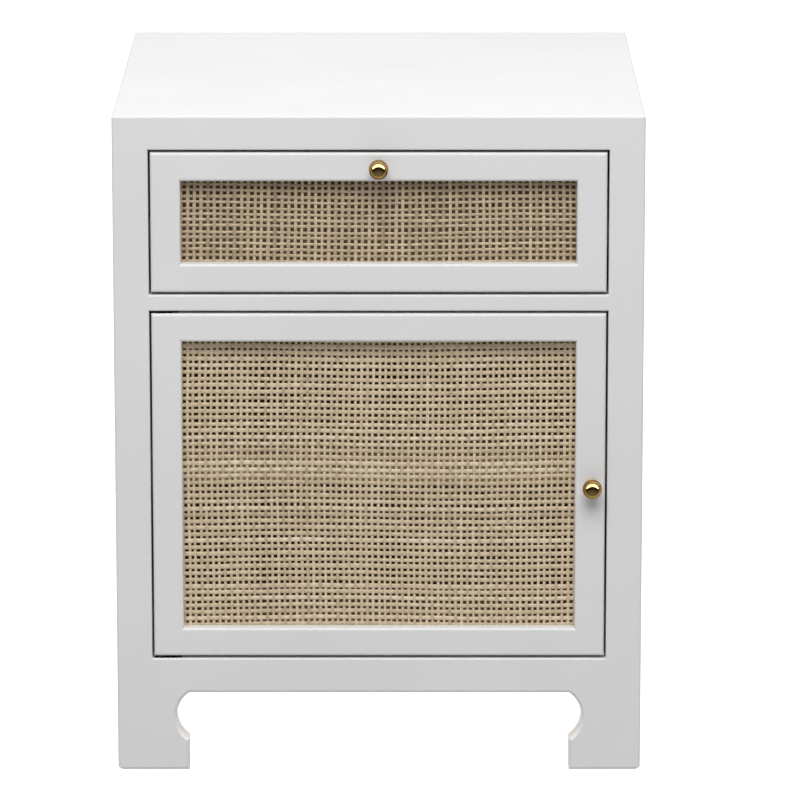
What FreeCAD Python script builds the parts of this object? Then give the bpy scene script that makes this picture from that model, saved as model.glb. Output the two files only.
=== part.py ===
import FreeCAD
import Part
import math
import os

# A side table with a drawer over a door, both faced in woven cane, standing on bracket feet.
# Millimetres: X runs to the right, Y to the back, Z up. The origin is on the floor, in the
# middle of the outermost box, which takes in the knobs.

Vector = FreeCAD.Vector

# Case
WIDTH = 460.0
DEPTH = 460.0
HEIGHT = 585.0
TOP_THICKNESS = 18.0
SIDE_THICKNESS = 18.0
BOTTOM_THICKNESS = 15.0
DIVIDER_THICKNESS = 12.0
BACK_THICKNESS = 6.0
REAR_RAIL_THICKNESS = 18.0
EDGE_RADIUS = 2.5
FLOOR_EASING = 3.0
HOUSING_DEPTH = 6.0
BACK_REBATE = 11.5

# Face frame
FRAME_THICKNESS = 20.0
STILE_WIDTH = 31.0
TOP_RAIL_HEIGHT = 12.0
MID_RAIL_HEIGHT = 14.0
BOTTOM_RAIL_HEIGHT = 31.5
DRAWER_OPENING_HEIGHT = 127.5
OPENING_ARRIS = 1.5

# Bracket feet: a straight toe, then a round bite up to the apron
FOOT_HEIGHT = 70.5
FOOT_WIDTH = 63.0
TOE_HEIGHT = 28.2
BITE_DEPTH = 11.0
ARCH_EASING = 2.5

# Door and drawer fronts
SIDE_REVEAL = 1.8
LEVEL_REVEAL = 2.4
FRONT_STILE_WIDTH = 26.0
FRONT_RAIL_HEIGHT = 25.0
FRONT_ARRIS = 2.5
CANE_RECESS = 11.0
CANE_REBATE = 6.0

# Cane web: flat strands crossing at right angles, the same web turned a quarter on the drawer
STRAND_THICKNESS = 0.8
CLOSE_PITCH = 5.2
CLOSE_STRAND = 2.8
WIDE_PITCH = 5.8
WIDE_STRAND = 3.2
WEB_CLEARANCE = 0.5
WEB_SELVAGE = 3.5

# Wood joints
TENON_LENGTH = 10.0
TENON_SETBACK = 4.0
TENON_THICKNESS = 6.0
TENON_SHOULDER = 2.0
TENON_HAUNCH = 10.0
JOINT_CLEARANCE = 0.15
DOWEL_RADIUS = 4.0
DOWEL_LENGTH = 30.0
DOWEL_DEPTH_IN_TOP = 11.0
DOWEL_EDGE = 40.0
FOOT_DOWEL_EDGE = 14.0
FOOT_DOWEL_WALL = 1.5

# Shelf on four pins
SHELF_THICKNESS = 15.0
SHELF_SETBACK = 20.0
SHELF_END_CLEARANCE = 1.0
PIN_RADIUS = 2.5
PIN_LENGTH = 16.0
PIN_DEPTH = 8.0
PIN_EDGE = 45.0

# Drawer box
BOX_SIDE_THICKNESS = 12.0
BOX_END_THICKNESS = 12.0
BOX_BACK_SPACE = 29.0
BOX_TOP_SPACE = 4.5
BOX_LIFT = 8.0
BOX_BOTTOM_THICKNESS = 5.0
BOX_BOTTOM_LIFT = 10.0
BOX_GROOVE = 5.0
TAIL_PITCH = 36.0
TAIL_WIDTH = 20.0
TAIL_SLOPE = 0.14

# Ball slides: a channel on the case, a channel on the drawer and caged balls between them
SLIDE_BACK_SPACE = 32.0
SLIDE_SETBACK = 2.0
SLIDE_THICKNESS = 10.0
SLIDE_LIFT = 40.0
SLIDE_SHEET = 1.2
DRAWER_TRAVEL = 280.0
OUTER_HEIGHT = 27.0
OUTER_FLANGE = 2.5
OUTER_CLEARANCE = 0.8
INNER_FLANGE = 2.2
INNER_CLEARANCE = 0.4
BALL_RADIUS = 2.0
BALL_COUNT = 5
BALL_CLEARANCE = 0.1
BALL_STAND_OFF = 0.3
RACE_DEPTH = 0.4
CAGE_SHEET = 0.7
CAGE_STAND_OFF = 0.3
CAGE_RIM = 0.5
CAGE_MARGIN = 5.0
CAGE_END = 6.0
BATTEN_HEIGHT = 40.0

# Pivot hinges at the door's left corners
HINGE_INSET = 6.5
HINGE_SETBACK = 5.7
HINGE_PIN_RADIUS = 2.0
HINGE_PIN_CLEARANCE = 0.05
LEAF_LENGTH = 24.0
LEAF_WIDTH = 10.0
LEAF_MARGIN = 2.7
LEAF_THICKNESS = 2.5
LEAF_SCREWS = (13.5, 20.0)
WASHER_RADIUS = 4.0
WASHER_PLAY = 0.1

# Magnetic catch behind the door's top rail
CATCH_FROM_EDGE = 46.0
CATCH_LENGTH = 40.0
CATCH_DEPTH = 14.0
CATCH_HEIGHT = 12.0
CATCH_GAP = 0.3
CATCH_SCREW_SPREAD = 28.0
MAGNET_LENGTH = 18.0
MAGNET_DEPTH = 10.0
MAGNET_HEIGHT = 7.0
STRIKE_LENGTH = 38.0
STRIKE_HEIGHT = 12.0
STRIKE_THICKNESS = 1.2
STRIKE_DROP = 1.5

# Knobs: a ball on a short neck with a small foot, held by a machine screw from behind
KNOB_LENGTH = 21.0
KNOB_RADIUS = 8.5
KNOB_NECK_RADIUS = 4.5
KNOB_FOOT_RADIUS = 6.5
KNOB_FOOT_HEIGHT = 1.5
DOOR_KNOB_INSET = 11.5
KNOB_SCREW_RADIUS = 2.0
KNOB_SCREW_DEPTH = 9.0
KNOB_SCREW_HEAD_RADIUS = 4.0
KNOB_SCREW_HEAD_HEIGHT = 2.4

# Countersunk wood screws
SCREW_CLEARANCE = 0.1
SMALL_SHANK_RADIUS = 1.25
SMALL_HEAD_RADIUS = 2.3
LARGE_SHANK_RADIUS = 1.75
LARGE_HEAD_RADIUS = 2.9
LEAF_SCREW_LENGTH = 9.0
SLIDE_SCREW_LENGTH = 10.0
SLIDE_SCREW_EDGE = 35.0
STRIKE_SCREW_LENGTH = 10.0
STRIKE_SCREW_EDGE = 6.0
CATCH_SCREW_LENGTH = 20.0
FIXING_SCREW_LENGTH = 26.0
FIXING_SPREAD = 240.0
BACK_SCREW_LENGTH = 18.0
BACK_SCREW_EDGE = 45.0
BACK_SCREW_WALL = 1.2
BACK_SCREWS_PER_SIDE = 4

# Places that follow from the sizes
TOUCH = 0.01
FRONT = -(DEPTH - KNOB_LENGTH) / 2
BACK = FRONT + DEPTH
FRAME_BACK = FRONT + FRAME_THICKNESS
BACK_FACE = BACK - BACK_THICKNESS
HALF_WIDTH = WIDTH / 2
SIDE_INNER = HALF_WIDTH - SIDE_THICKNESS
OPENING_HALF = HALF_WIDTH - STILE_WIDTH
TOP_UNDERSIDE = HEIGHT - TOP_THICKNESS
DRAWER_OPENING = (TOP_UNDERSIDE - TOP_RAIL_HEIGHT - DRAWER_OPENING_HEIGHT, TOP_UNDERSIDE - TOP_RAIL_HEIGHT)
DOOR_OPENING = (FOOT_HEIGHT + BOTTOM_RAIL_HEIGHT, DRAWER_OPENING[0] - MID_RAIL_HEIGHT)
FRONT_HALF = OPENING_HALF - SIDE_REVEAL
DRAWER_SPAN = (DRAWER_OPENING[0] + LEVEL_REVEAL, DRAWER_OPENING[1] - LEVEL_REVEAL)
DOOR_SPAN = (DOOR_OPENING[0] + LEVEL_REVEAL, DOOR_OPENING[1] - LEVEL_REVEAL)
BOTTOM_SPAN = (DOOR_OPENING[0] - BOTTOM_THICKNESS, DOOR_OPENING[0])
DIVIDER_SPAN = (DRAWER_OPENING[0] - DIVIDER_THICKNESS, DRAWER_OPENING[0])
SHELF_TOP = (DOOR_OPENING[0] + DOOR_OPENING[1] + SHELF_THICKNESS) / 2
SHELF_BOTTOM = SHELF_TOP - SHELF_THICKNESS
CANE_FRONT = FRONT + CANE_RECESS
CANE_BACK = CANE_FRONT + 2 * STRAND_THICKNESS
BOX_HALF = OPENING_HALF - SLIDE_THICKNESS
BOX_SPAN = (DRAWER_SPAN[0] + BOX_LIFT, DRAWER_SPAN[1] - BOX_TOP_SPACE)
BOX_BACK = BACK_FACE - BOX_BACK_SPACE
SLIDE_FRONT = FRAME_BACK + SLIDE_SETBACK
SLIDE_BACK = BACK_FACE - SLIDE_BACK_SPACE
SLIDE_HEIGHT = BOX_SPAN[0] + SLIDE_LIFT
HINGE_X = HINGE_INSET - FRONT_HALF
HINGE_Y = FRONT + HINGE_SETBACK
DRAWER_KNOB = (0.0, DRAWER_SPAN[1] - FRONT_RAIL_HEIGHT / 2)
DOOR_KNOB = (FRONT_HALF - DOOR_KNOB_INSET, sum(DOOR_SPAN) / 2)
SIDES = {"left": -1, "right": 1}


# Shared forms

def block(x, y, z):
    """Square block between a pair of limits on each axis."""
    corner = Vector(min(x), min(y), min(z))
    return Part.makeBox(max(x) - min(x), max(y) - min(y), max(z) - min(z), corner)


def grown(limits, margin):
    return limits[0] - margin, limits[1] + margin


def edges_at_front(shape):
    """Edges that lie wholly in the plane of the front."""
    return [edge for edge in shape.Edges if edge.BoundBox.YMax < FRONT + TOUCH]


def outline(points):
    """Closed straight-sided face through the points."""
    return Part.Face(Part.makePolygon(points + points[:1]))


def wood_screw(point, direction, shank, head, length, clearance=0.0):
    """Countersunk screw driven along a direction; with a clearance it is the hole it sits in."""
    cone = Part.makeCone(head + clearance, shank + clearance, head - shank, point, direction)
    stem = Part.makeCylinder(shank + clearance, length + clearance, point, direction)
    return cone.fuse(stem).removeSplitter()


def small_screw(point, direction, length, clearance=0.0):
    return wood_screw(point, direction, SMALL_SHANK_RADIUS, SMALL_HEAD_RADIUS, length, clearance)


def large_screw(point, direction, length, clearance=0.0):
    return wood_screw(point, direction, LARGE_SHANK_RADIUS, LARGE_HEAD_RADIUS, length, clearance)


def screws_and_holes(make, places, length):
    """Screws at (point, direction) places, and the holes that take them."""
    screws = [make(point, direction, length) for point, direction in places]
    holes = [make(point, direction, length, SCREW_CLEARANCE) for point, direction in places]
    return screws, holes


def tenon(shoulder, side, low, high, clearance=0.0):
    """Stub tenon off the end of a rail; with a clearance it is the mortise that takes it."""
    near = FRONT + TENON_SETBACK - clearance
    far = FRONT + TENON_SETBACK + TENON_THICKNESS + clearance
    tip = shoulder + side * (TENON_LENGTH + clearance)
    return block((shoulder, tip), (near, far), (low - clearance, high + clearance))


def tenons(half, low, high, clearance=0.0):
    return [tenon(side * half, side, low, high, clearance) for side in SIDES.values()]


# Case carcass

def arch_outline(place, half, growth, depth):
    """Space between two bracket feet, grown evenly: straight toes, a round bite above each, a flat top."""
    rise = (FOOT_HEIGHT - TOE_HEIGHT) / 2
    bite_radius = (rise ** 2 + BITE_DEPTH ** 2) / (2 * BITE_DEPTH)
    centre, level = half + BITE_DEPTH - bite_radius, TOE_HEIGHT + rise
    reach, toe, top = bite_radius + growth, half + growth, FOOT_HEIGHT + growth
    toe_top = level - math.sqrt(reach ** 2 - (toe - centre) ** 2)
    top_end = centre + math.sqrt(reach ** 2 - (top - level) ** 2)
    stations = [(toe, -ARCH_EASING), (toe, toe_top), (centre + reach, level), (top_end, top)]
    right = [place(along, depth, z) for along, z in stations]
    left = [place(-along, depth, z) for along, z in stations]
    segments = [Part.LineSegment(left[0], right[0]), Part.LineSegment(right[0], right[1]),
                Part.Arc(*right[1:]), Part.LineSegment(right[3], left[3]),
                Part.Arc(left[3], left[2], left[1]), Part.LineSegment(left[1], left[0])]
    return Part.Wire([segment.toShape() for segment in segments])


def arch(place, half, thickness):
    """Cutters for the space between two feet through a board, its rim eased on the outside."""
    rim = [arch_outline(place, half, growth, ARCH_EASING - growth) for growth in (ARCH_EASING, 0.0)]
    through = [arch_outline(place, half, 0.0, depth) for depth in (0.0, thickness)]
    return [Part.makeLoft(rim, True, True), Part.makeLoft(through, True, True)]


def footed_case():
    """The case as one block: eased at the floor, rounded corners and top edges, arched between its feet."""
    body = block((-HALF_WIDTH, HALF_WIDTH), (FRONT, BACK), (0, HEIGHT))
    body = body.makeChamfer(FLOOR_EASING, [edge for edge in body.Edges if edge.BoundBox.ZMax < TOUCH])
    crisp = [edge for edge in body.Edges
             if edge.BoundBox.ZMax > HEIGHT - TOUCH or edge.BoundBox.ZMin < TOUCH < edge.BoundBox.ZMax]
    body = body.makeFillet(EDGE_RADIUS, crisp)
    cutters = arch(lambda along, depth, z: Vector(along, FRONT + depth, z),
                   HALF_WIDTH - FOOT_WIDTH, FRAME_THICKNESS)
    middle = (FRONT + BACK) / 2
    for side in SIDES.values():
        cutters += arch(lambda along, depth, z: Vector(side * (HALF_WIDTH - depth), middle + along, z),
                        DEPTH / 2 - FOOT_WIDTH, SIDE_THICKNESS)
    return body.cut(cutters)


def dowel(x, y, centre, below, clearance=0.0):
    """Upright dowel across a joint, set a given depth below it."""
    start = Vector(x, y, centre - below - clearance)
    return Part.makeCylinder(DOWEL_RADIUS + clearance, DOWEL_LENGTH + 2 * clearance, start)


def dowels(clearance=0.0):
    """Dowels from the sides up into the top, and from each foot up into what it carries."""
    side_middle = HALF_WIDTH - SIDE_THICKNESS / 2
    top_places = (FRAME_BACK + DOWEL_EDGE, (FRAME_BACK + BACK) / 2, BACK - DOWEL_EDGE)
    below_top = DOWEL_LENGTH - DOWEL_DEPTH_IN_TOP
    in_foot = DOWEL_LENGTH - (BOTTOM_SPAN[0] - FOOT_DOWEL_WALL - FOOT_HEIGHT)
    pieces = []
    for side in SIDES.values():
        for y in top_places:
            pieces.append(dowel(side * side_middle, y, TOP_UNDERSIDE, below_top, clearance))
        for y in (FRAME_BACK + FOOT_DOWEL_EDGE, BACK - FOOT_DOWEL_EDGE - BACK_THICKNESS):
            pieces.append(dowel(side * side_middle, y, FOOT_HEIGHT, in_foot, clearance))
        bracket_x = side * (OPENING_HALF - FOOT_DOWEL_EDGE + DOWEL_RADIUS)
        bracket_y = FRONT + FRAME_THICKNESS / 2
        pieces.append(dowel(bracket_x, bracket_y, FOOT_HEIGHT, in_foot, clearance))
    return pieces


def back_panel():
    half = SIDE_INNER + BACK_REBATE
    return block((-half, half), (BACK_FACE, BACK), (FOOT_HEIGHT, TOP_UNDERSIDE))


def housed_board(span):
    """Board across the case, let into a housing in each side."""
    half = SIDE_INNER + HOUSING_DEPTH
    return block((-half, half), (FRAME_BACK, BACK_FACE), span)


def shelf_pin(side, y, clearance=0.0):
    """Pin half in the side panel, half under the shelf."""
    start = Vector(side * (SIDE_INNER + PIN_DEPTH + clearance), y, SHELF_BOTTOM - PIN_RADIUS)
    return Part.makeCylinder(PIN_RADIUS + clearance, PIN_LENGTH + clearance, start, Vector(-side, 0, 0))


def shelf_pins(clearance=0.0):
    places = (FRAME_BACK + SHELF_SETBACK + PIN_EDGE, BACK_FACE - PIN_EDGE)
    return {side: [shelf_pin(side, y, clearance) for y in places] for side in SIDES.values()}


def back_screw_places():
    """Two upright rows through the back panel into the sides, clear of the housings."""
    low = FOOT_HEIGHT + BACK_SCREW_EDGE
    step = (TOP_UNDERSIDE - BACK_SCREW_EDGE - low) / (BACK_SCREWS_PER_SIDE - 1)
    x = SIDE_INNER + HOUSING_DEPTH + BACK_SCREW_WALL + SMALL_SHANK_RADIUS
    heights = [low + step * n for n in range(BACK_SCREWS_PER_SIDE)]
    return [(Vector(side * x, BACK, z), Vector(0, -1, 0)) for side in SIDES.values() for z in heights]


# Face frame and its members

def face_frame():
    """The whole face frame with its feet, its openings eased at the front."""
    frame = CASE.common(block((-HALF_WIDTH, HALF_WIDTH), (FRONT, FRAME_BACK), (0, TOP_UNDERSIDE)))
    across = (-OPENING_HALF, OPENING_HALF)
    through = (FRONT, FRAME_BACK)
    frame = frame.cut([block(across, through, DOOR_OPENING), block(across, through, DRAWER_OPENING)])
    both = (DOOR_OPENING[0], DRAWER_OPENING[1])
    reach = block(grown(across, TOUCH), grown(through, TOUCH), grown(both, TOUCH)).BoundBox
    rims = [edge for edge in edges_at_front(frame) if reach.isInside(edge.BoundBox)]
    return frame.makeFillet(OPENING_ARRIS, rims)


RAIL_SPANS = {"top_rail": (DRAWER_OPENING[1], TOP_UNDERSIDE),
              "mid_rail": (DOOR_OPENING[1], DRAWER_OPENING[0]),
              "bottom_rail": (FOOT_HEIGHT, DOOR_OPENING[0])}


def face_rail(frame, span):
    """One rail of the face frame, with a tenon on each end."""
    body = frame.common(block((-OPENING_HALF, OPENING_HALF), (FRONT, FRAME_BACK), span))
    ends = tenons(OPENING_HALF, span[0] + TENON_SHOULDER, span[1] - TENON_SHOULDER)
    return body.fuse(ends).removeSplitter()


def face_stile(frame, side):
    """One stile of the face frame, from the floor to the top, mortised for the rails."""
    edge = side * OPENING_HALF
    body = frame.common(block((edge, side * HALF_WIDTH), (FRONT, FRAME_BACK), (0, TOP_UNDERSIDE)))
    mortises = [tenon(edge, side, low + TENON_SHOULDER, high - TENON_SHOULDER, JOINT_CLEARANCE)
                for low, high in RAIL_SPANS.values()]
    return body.cut(mortises)


# Door and drawer fronts

def front_opening(span):
    """Limits of the cane opening in a front."""
    half = FRONT_HALF - FRONT_STILE_WIDTH
    return (-half, half), (span[0] + FRONT_RAIL_HEIGHT, span[1] - FRONT_RAIL_HEIGHT)


def front_frame(span):
    """Stiles and rails of a door or drawer front, cut from one ring so that their arrises meet."""
    x, z = front_opening(span)
    through = (FRONT, FRAME_BACK)
    ring = block((-FRONT_HALF, FRONT_HALF), through, span).cut(block(x, through, z))
    ring = ring.makeFillet(FRONT_ARRIS, edges_at_front(ring))
    rebate = block(grown(x, CANE_REBATE), (CANE_FRONT, FRAME_BACK), grown(z, CANE_REBATE))
    rails = {"top_rail": (z[1], span[1]), "bottom_rail": (span[0], z[0])}
    tenon_spans = {"top_rail": (z[1] + TENON_SHOULDER, span[1] - TENON_HAUNCH),
                   "bottom_rail": (span[0] + TENON_HAUNCH, z[0] - TENON_SHOULDER)}
    pieces = {}
    for name, rail_span in rails.items():
        body = ring.common(block(x, through, rail_span))
        pieces[name] = body.fuse(tenons(x[1], *tenon_spans[name])).removeSplitter().cut(rebate)
    for name, side in SIDES.items():
        body = ring.common(block((side * x[1], side * FRONT_HALF), through, span))
        mortises = [tenon(side * x[1], side, *limits, JOINT_CLEARANCE) for limits in tenon_spans.values()]
        pieces[name + "_stile"] = body.cut(mortises + [rebate])
    return pieces


def gaps_between(limits, pitch, strand):
    """Open gaps between strands at a pitch, centred between the limits."""
    count = int((limits[1] - limits[0]) / pitch)
    middle = sum(limits) / 2
    centres = [middle + pitch * (n - (count - 1) / 2) for n in range(count)]
    half_gap = (pitch - strand) / 2
    return [(centre - half_gap, centre + half_gap) for centre in centres]


def rectangle(x, z, y):
    corners = [Vector(x[0], y, z[0]), Vector(x[1], y, z[0]), Vector(x[1], y, z[1]), Vector(x[0], y, z[1])]
    return Part.makePolygon(corners + corners[:1])


def strand_layer(x, z, slots, y):
    """One layer of strands: a thin holed face whose slots are the gaps between strands."""
    rim = [rectangle(x, z, y)]
    face = Part.makeFace(rim + [rectangle(*slot, y) for slot in slots], "Part::FaceMakerBullseye")
    return face.extrude(Vector(0, STRAND_THICKNESS, 0))


def cane_web(span, upright, level):
    """Level strands in front of upright ones, held together by the selvage hidden in the rebate."""
    x, z = (grown(limits, CANE_REBATE - WEB_CLEARANCE) for limits in front_opening(span))
    x_open, z_open = grown(x, -WEB_SELVAGE), grown(z, -WEB_SELVAGE)
    level_slots = [(x_open, gap) for gap in gaps_between(z_open, *level)]
    upright_slots = [(gap, z_open) for gap in gaps_between(x_open, *upright)]
    return [strand_layer(x, z, level_slots, CANE_FRONT),
            strand_layer(x, z, upright_slots, CANE_FRONT + STRAND_THICKNESS)]


def cane_beads(span):
    """Four strips that press the web into the rebate: long ones above and below, short ones between."""
    x, z = (grown(limits, CANE_REBATE - JOINT_CLEARANCE) for limits in front_opening(span))
    inner_x, inner_z = front_opening(span)
    deep = (CANE_BACK, FRAME_BACK)
    level = [block(x, deep, (inner_z[1], z[1])), block(x, deep, (z[0], inner_z[0]))]
    upright = [block((inner_x[0], x[0]), deep, inner_z), block((inner_x[1], x[1]), deep, inner_z)]
    return level + upright


# Knobs

def knob(place):
    """Turned knob: a foot, a neck and a ball, with a tapped hole up its axis."""
    x, z = place
    ball_centre = KNOB_LENGTH - KNOB_RADIUS
    neck_end = ball_centre - math.sqrt(KNOB_RADIUS ** 2 - KNOB_NECK_RADIUS ** 2)
    foot_slope = KNOB_FOOT_RADIUS - KNOB_NECK_RADIUS
    stations = [(0, 0), (KNOB_FOOT_RADIUS, 0), (KNOB_FOOT_RADIUS, KNOB_FOOT_HEIGHT),
                (KNOB_NECK_RADIUS, KNOB_FOOT_HEIGHT + foot_slope / 2), (KNOB_NECK_RADIUS, neck_end)]
    corners = [Vector(x + radius, FRONT - out, z) for radius, out in stations]
    tip = Vector(x, FRONT - KNOB_LENGTH, z)
    ball = Part.Arc(corners[-1], Vector(x + KNOB_RADIUS, FRONT - ball_centre, z), tip)
    lines = [Part.LineSegment(a, b) for a, b in zip(corners, corners[1:])]
    axis = Part.LineSegment(tip, corners[0])
    face = Part.Face(Part.Wire([segment.toShape() for segment in lines + [ball, axis]]))
    body = face.revolve(corners[0], Vector(0, 1, 0), 360)
    return body.cut(knob_shank(place, FRONT, SCREW_CLEARANCE))


def knob_shank(place, seat, clearance=0.0):
    """Shank of a knob's machine screw from its seat forward into the knob."""
    length = seat - FRONT + KNOB_SCREW_DEPTH
    start = Vector(place[0], seat, place[1])
    return Part.makeCylinder(KNOB_SCREW_RADIUS + clearance, length + clearance, start, Vector(0, -1, 0))


def knob_screw(place, seat):
    """Machine screw with a rounded head, from a seat behind the front into the knob."""
    start = Vector(place[0], seat, place[1])
    head = Part.makeCylinder(KNOB_SCREW_HEAD_RADIUS, KNOB_SCREW_HEAD_HEIGHT, start, Vector(0, 1, 0))
    crown = [edge for edge in head.Edges if edge.BoundBox.YMin > seat + TOUCH and edge.Closed]
    head = head.makeFillet(KNOB_SCREW_HEAD_HEIGHT / 2, crown)
    return head.fuse(knob_shank(place, seat)).removeSplitter()


# Drawer box

BOX_INNER = BOX_HALF - BOX_SIDE_THICKNESS
BOX_ENDS = {"front": (FRAME_BACK, FRAME_BACK + BOX_END_THICKNESS),
            "back": (BOX_BACK, BOX_BACK - BOX_END_THICKNESS)}


def tails(side, clearance=0.0):
    """Dovetail tails at both ends of a drawer side; with a clearance they are the sockets."""
    count = int((BOX_SPAN[1] - BOX_SPAN[0]) / TAIL_PITCH)
    middle = sum(BOX_SPAN) / 2
    inner = side * (BOX_INNER - clearance)
    across = Vector(side * BOX_HALF - inner, 0, 0)
    wide = TAIL_WIDTH / 2 + clearance
    narrow = wide - TAIL_SLOPE * BOX_END_THICKNESS
    wedges = []
    for end, shoulder in BOX_ENDS.values():
        for n in range(count):
            z = middle + TAIL_PITCH * (n - (count - 1) / 2)
            corners = [(shoulder, z - narrow), (end, z - wide), (end, z + wide), (shoulder, z + narrow)]
            wedges.append(outline([Vector(inner, y, level) for y, level in corners]).extrude(across))
    return wedges


def box_bottom(clearance=0.0):
    """Bottom board of the drawer; with a clearance it is the groove round the inside of the box."""
    half = BOX_INNER + BOX_GROOVE - JOINT_CLEARANCE + clearance
    front = BOX_ENDS["front"][1] - BOX_GROOVE + JOINT_CLEARANCE - clearance
    back = BOX_ENDS["back"][1] + BOX_GROOVE - JOINT_CLEARANCE + clearance
    low = BOX_SPAN[0] + BOX_BOTTOM_LIFT
    return block((-half, half), (front, back), (low - clearance, low + BOX_BOTTOM_THICKNESS + clearance))


def box_side(side):
    """Drawer side with its tails, grooved for the bottom."""
    long = (BOX_ENDS["front"][1], BOX_ENDS["back"][1])
    body = block((side * BOX_INNER, side * BOX_HALF), long, BOX_SPAN)
    return body.fuse(tails(side)).removeSplitter().cut(box_bottom(JOINT_CLEARANCE))


def box_end(name):
    """Drawer box front or back, with sockets for the tails, grooved for the bottom."""
    body = block((-BOX_HALF, BOX_HALF), BOX_ENDS[name], BOX_SPAN)
    sockets = [wedge for side in SIDES.values() for wedge in tails(side, JOINT_CLEARANCE)]
    return body.cut(sockets + [box_bottom(JOINT_CLEARANCE)])


def fixing_screw_places():
    """Screws from inside the drawer box into the rails of the drawer front."""
    x, z = front_opening(DRAWER_SPAN)
    low = (BOX_SPAN[0] + z[0] - CANE_REBATE) / 2
    high = (BOX_SPAN[1] + z[1] + CANE_REBATE) / 2
    seat = BOX_ENDS["front"][1]
    spots = [(side * FIXING_SPREAD / 2, level) for side in SIDES.values() for level in (low, high)]
    return [(Vector(x_spot, seat, level), Vector(0, -1, 0)) for x_spot, level in spots]


# Ball slides, drawn by the distance u inward from the case and the height w above the middle

CAGE_WEB = (SLIDE_SHEET + CAGE_STAND_OFF, SLIDE_SHEET + CAGE_STAND_OFF + CAGE_SHEET)
BALL_SEAT = BALL_RADIUS + BALL_CLEARANCE
BALL_CENTRE = CAGE_WEB[1] + BALL_STAND_OFF + BALL_SEAT
INNER_WEB = (SLIDE_THICKNESS - SLIDE_SHEET, SLIDE_THICKNESS)
OUTER_INNER = OUTER_HEIGHT / 2 - OUTER_FLANGE
BALL_LEVEL = OUTER_INNER + RACE_DEPTH - BALL_SEAT
INNER_TOP = BALL_LEVEL - BALL_SEAT + RACE_DEPTH
CAGE_SPAN = (SLIDE_FRONT + DRAWER_TRAVEL / 2 + CAGE_MARGIN, SLIDE_BACK - DRAWER_TRAVEL / 2 - CAGE_MARGIN)
SLIDE_SPAN = (SLIDE_FRONT, SLIDE_BACK)


def slide_bar(side, u, w, y):
    """Bar of a slide between limits of u, w and y."""
    x = [side * (OPENING_HALF - distance) for distance in u]
    return block(x, y, (SLIDE_HEIGHT + w[0], SLIDE_HEIGHT + w[1]))


def ball_races(side):
    """Round grooves that the balls run in, above and below."""
    x = side * (OPENING_HALF - BALL_CENTRE)
    starts = [Vector(x, SLIDE_FRONT, SLIDE_HEIGHT + up * BALL_LEVEL) for up in (-1, 1)]
    length = SLIDE_BACK - SLIDE_FRONT
    return [Part.makeCylinder(BALL_SEAT, length, start, Vector(0, 1, 0)) for start in starts]


def channel(side, web_u, flange_u, outside, inside, y):
    """Web with a flange above and below."""
    web = slide_bar(side, web_u, (-outside, outside), y)
    flanges = [slide_bar(side, flange_u, limits, y) for limits in ((inside, outside), (-outside, -inside))]
    return web.fuse(flanges).removeSplitter()


def slide_outer(side):
    """Channel screwed to the case, open towards the drawer."""
    flange = (0, INNER_WEB[0] - OUTER_CLEARANCE)
    body = channel(side, (0, SLIDE_SHEET), flange, OUTER_HEIGHT / 2, OUTER_INNER, SLIDE_SPAN)
    return body.cut(ball_races(side))


def slide_inner(side):
    """Channel screwed to the drawer, open towards the case."""
    flange = (CAGE_WEB[1] + INNER_CLEARANCE, SLIDE_THICKNESS)
    body = channel(side, INNER_WEB, flange, INNER_TOP, INNER_TOP - INNER_FLANGE, SLIDE_SPAN)
    return body.cut(ball_races(side))


def ball_centres(side):
    """Two rows of ball centres, evenly spaced along the cage."""
    x = side * (OPENING_HALF - BALL_CENTRE)
    first, last = CAGE_SPAN[0] + CAGE_END, CAGE_SPAN[1] - CAGE_END
    step = (last - first) / (BALL_COUNT - 1)
    levels = [SLIDE_HEIGHT + up * BALL_LEVEL for up in (-1, 1)]
    return [Vector(x, first + step * n, level) for level in levels for n in range(BALL_COUNT)]


def ball_cage(side):
    """Thin channel with a drilled hole for each ball, and the balls."""
    flange = (CAGE_WEB[0], BALL_CENTRE + BALL_SEAT + CAGE_RIM)
    outside, inside = BALL_LEVEL + CAGE_SHEET / 2, BALL_LEVEL - CAGE_SHEET / 2
    strip = channel(side, CAGE_WEB, flange, outside, inside, CAGE_SPAN)
    below = Vector(0, 0, CAGE_SHEET)
    holes = [Part.makeCylinder(BALL_SEAT, 2 * CAGE_SHEET, centre - below) for centre in ball_centres(side)]
    balls = [Part.makeSphere(BALL_RADIUS, centre) for centre in ball_centres(side)]
    return [strip.cut(holes)] + balls


def slide_screw_places(side, u, inward):
    """Screws through a slide's web near its two ends, driven away from the balls."""
    x = side * (OPENING_HALF - u)
    ends = (SLIDE_FRONT + SLIDE_SCREW_EDGE, SLIDE_BACK - SLIDE_SCREW_EDGE)
    return [(Vector(x, y, SLIDE_HEIGHT), Vector(-side * inward, 0, 0)) for y in ends]


def slide_batten(side):
    """Packing strip that brings the slide level with the stile's inner edge."""
    level = (SLIDE_HEIGHT - BATTEN_HEIGHT / 2, SLIDE_HEIGHT + BATTEN_HEIGHT / 2)
    return block((side * OPENING_HALF, side * SIDE_INNER), (FRAME_BACK, SLIDE_BACK), level)


# Pivot hinges: at each end of the door, a leaf with a pin in the frame and a leaf with a hole in the door

HINGE_ENDS = {"upper": (DOOR_OPENING[1], DOOR_SPAN[1], 1), "lower": (DOOR_OPENING[0], DOOR_SPAN[0], -1)}


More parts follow.
